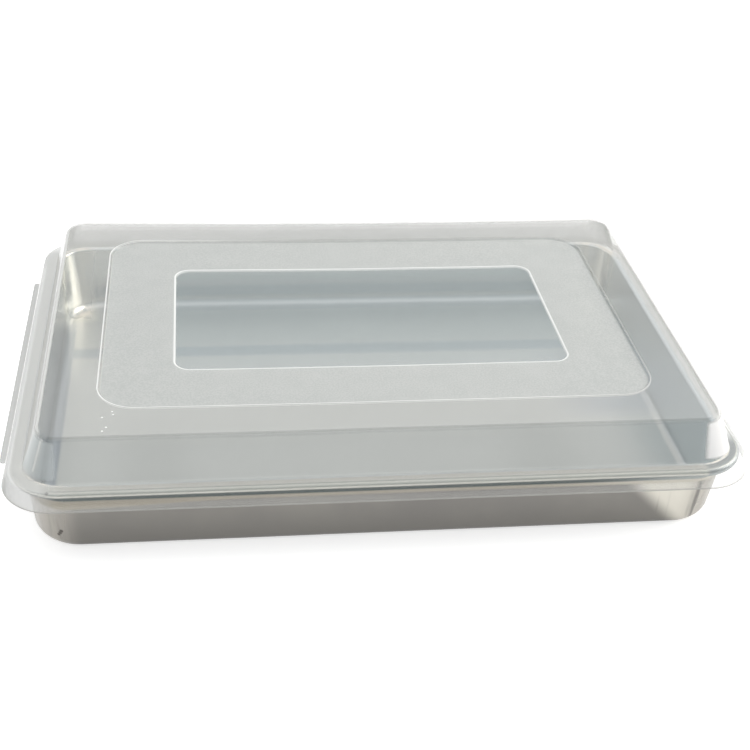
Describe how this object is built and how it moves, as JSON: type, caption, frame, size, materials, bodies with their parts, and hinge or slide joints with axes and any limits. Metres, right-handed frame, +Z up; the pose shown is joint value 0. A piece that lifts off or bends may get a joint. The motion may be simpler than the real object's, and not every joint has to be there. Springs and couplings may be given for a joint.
{
  "type": "cake pan with lid",
  "caption": "Shallow oblong sheet cake pan of drawn aluminium with a rolled rim, under a clear moulded lid with a frosted panel and a clear window.",
  "frame": {"origin": "middle of the pan's foot, on the surface that it stands on", "axes": "+X along the pan's length, +Y towards its back long side, +Z up"},
  "size_m": [0.471, 0.326, 0.078],
  "materials": {
    "pan_metal": "satin, as drawn",
    "lid_plastic": "clear and slightly milky, with a frosted panel"
  },
  "bodies": {
    "root": {"pan": "pan_metal", "lid": "lid_plastic"}
  },
  "joints": []
}
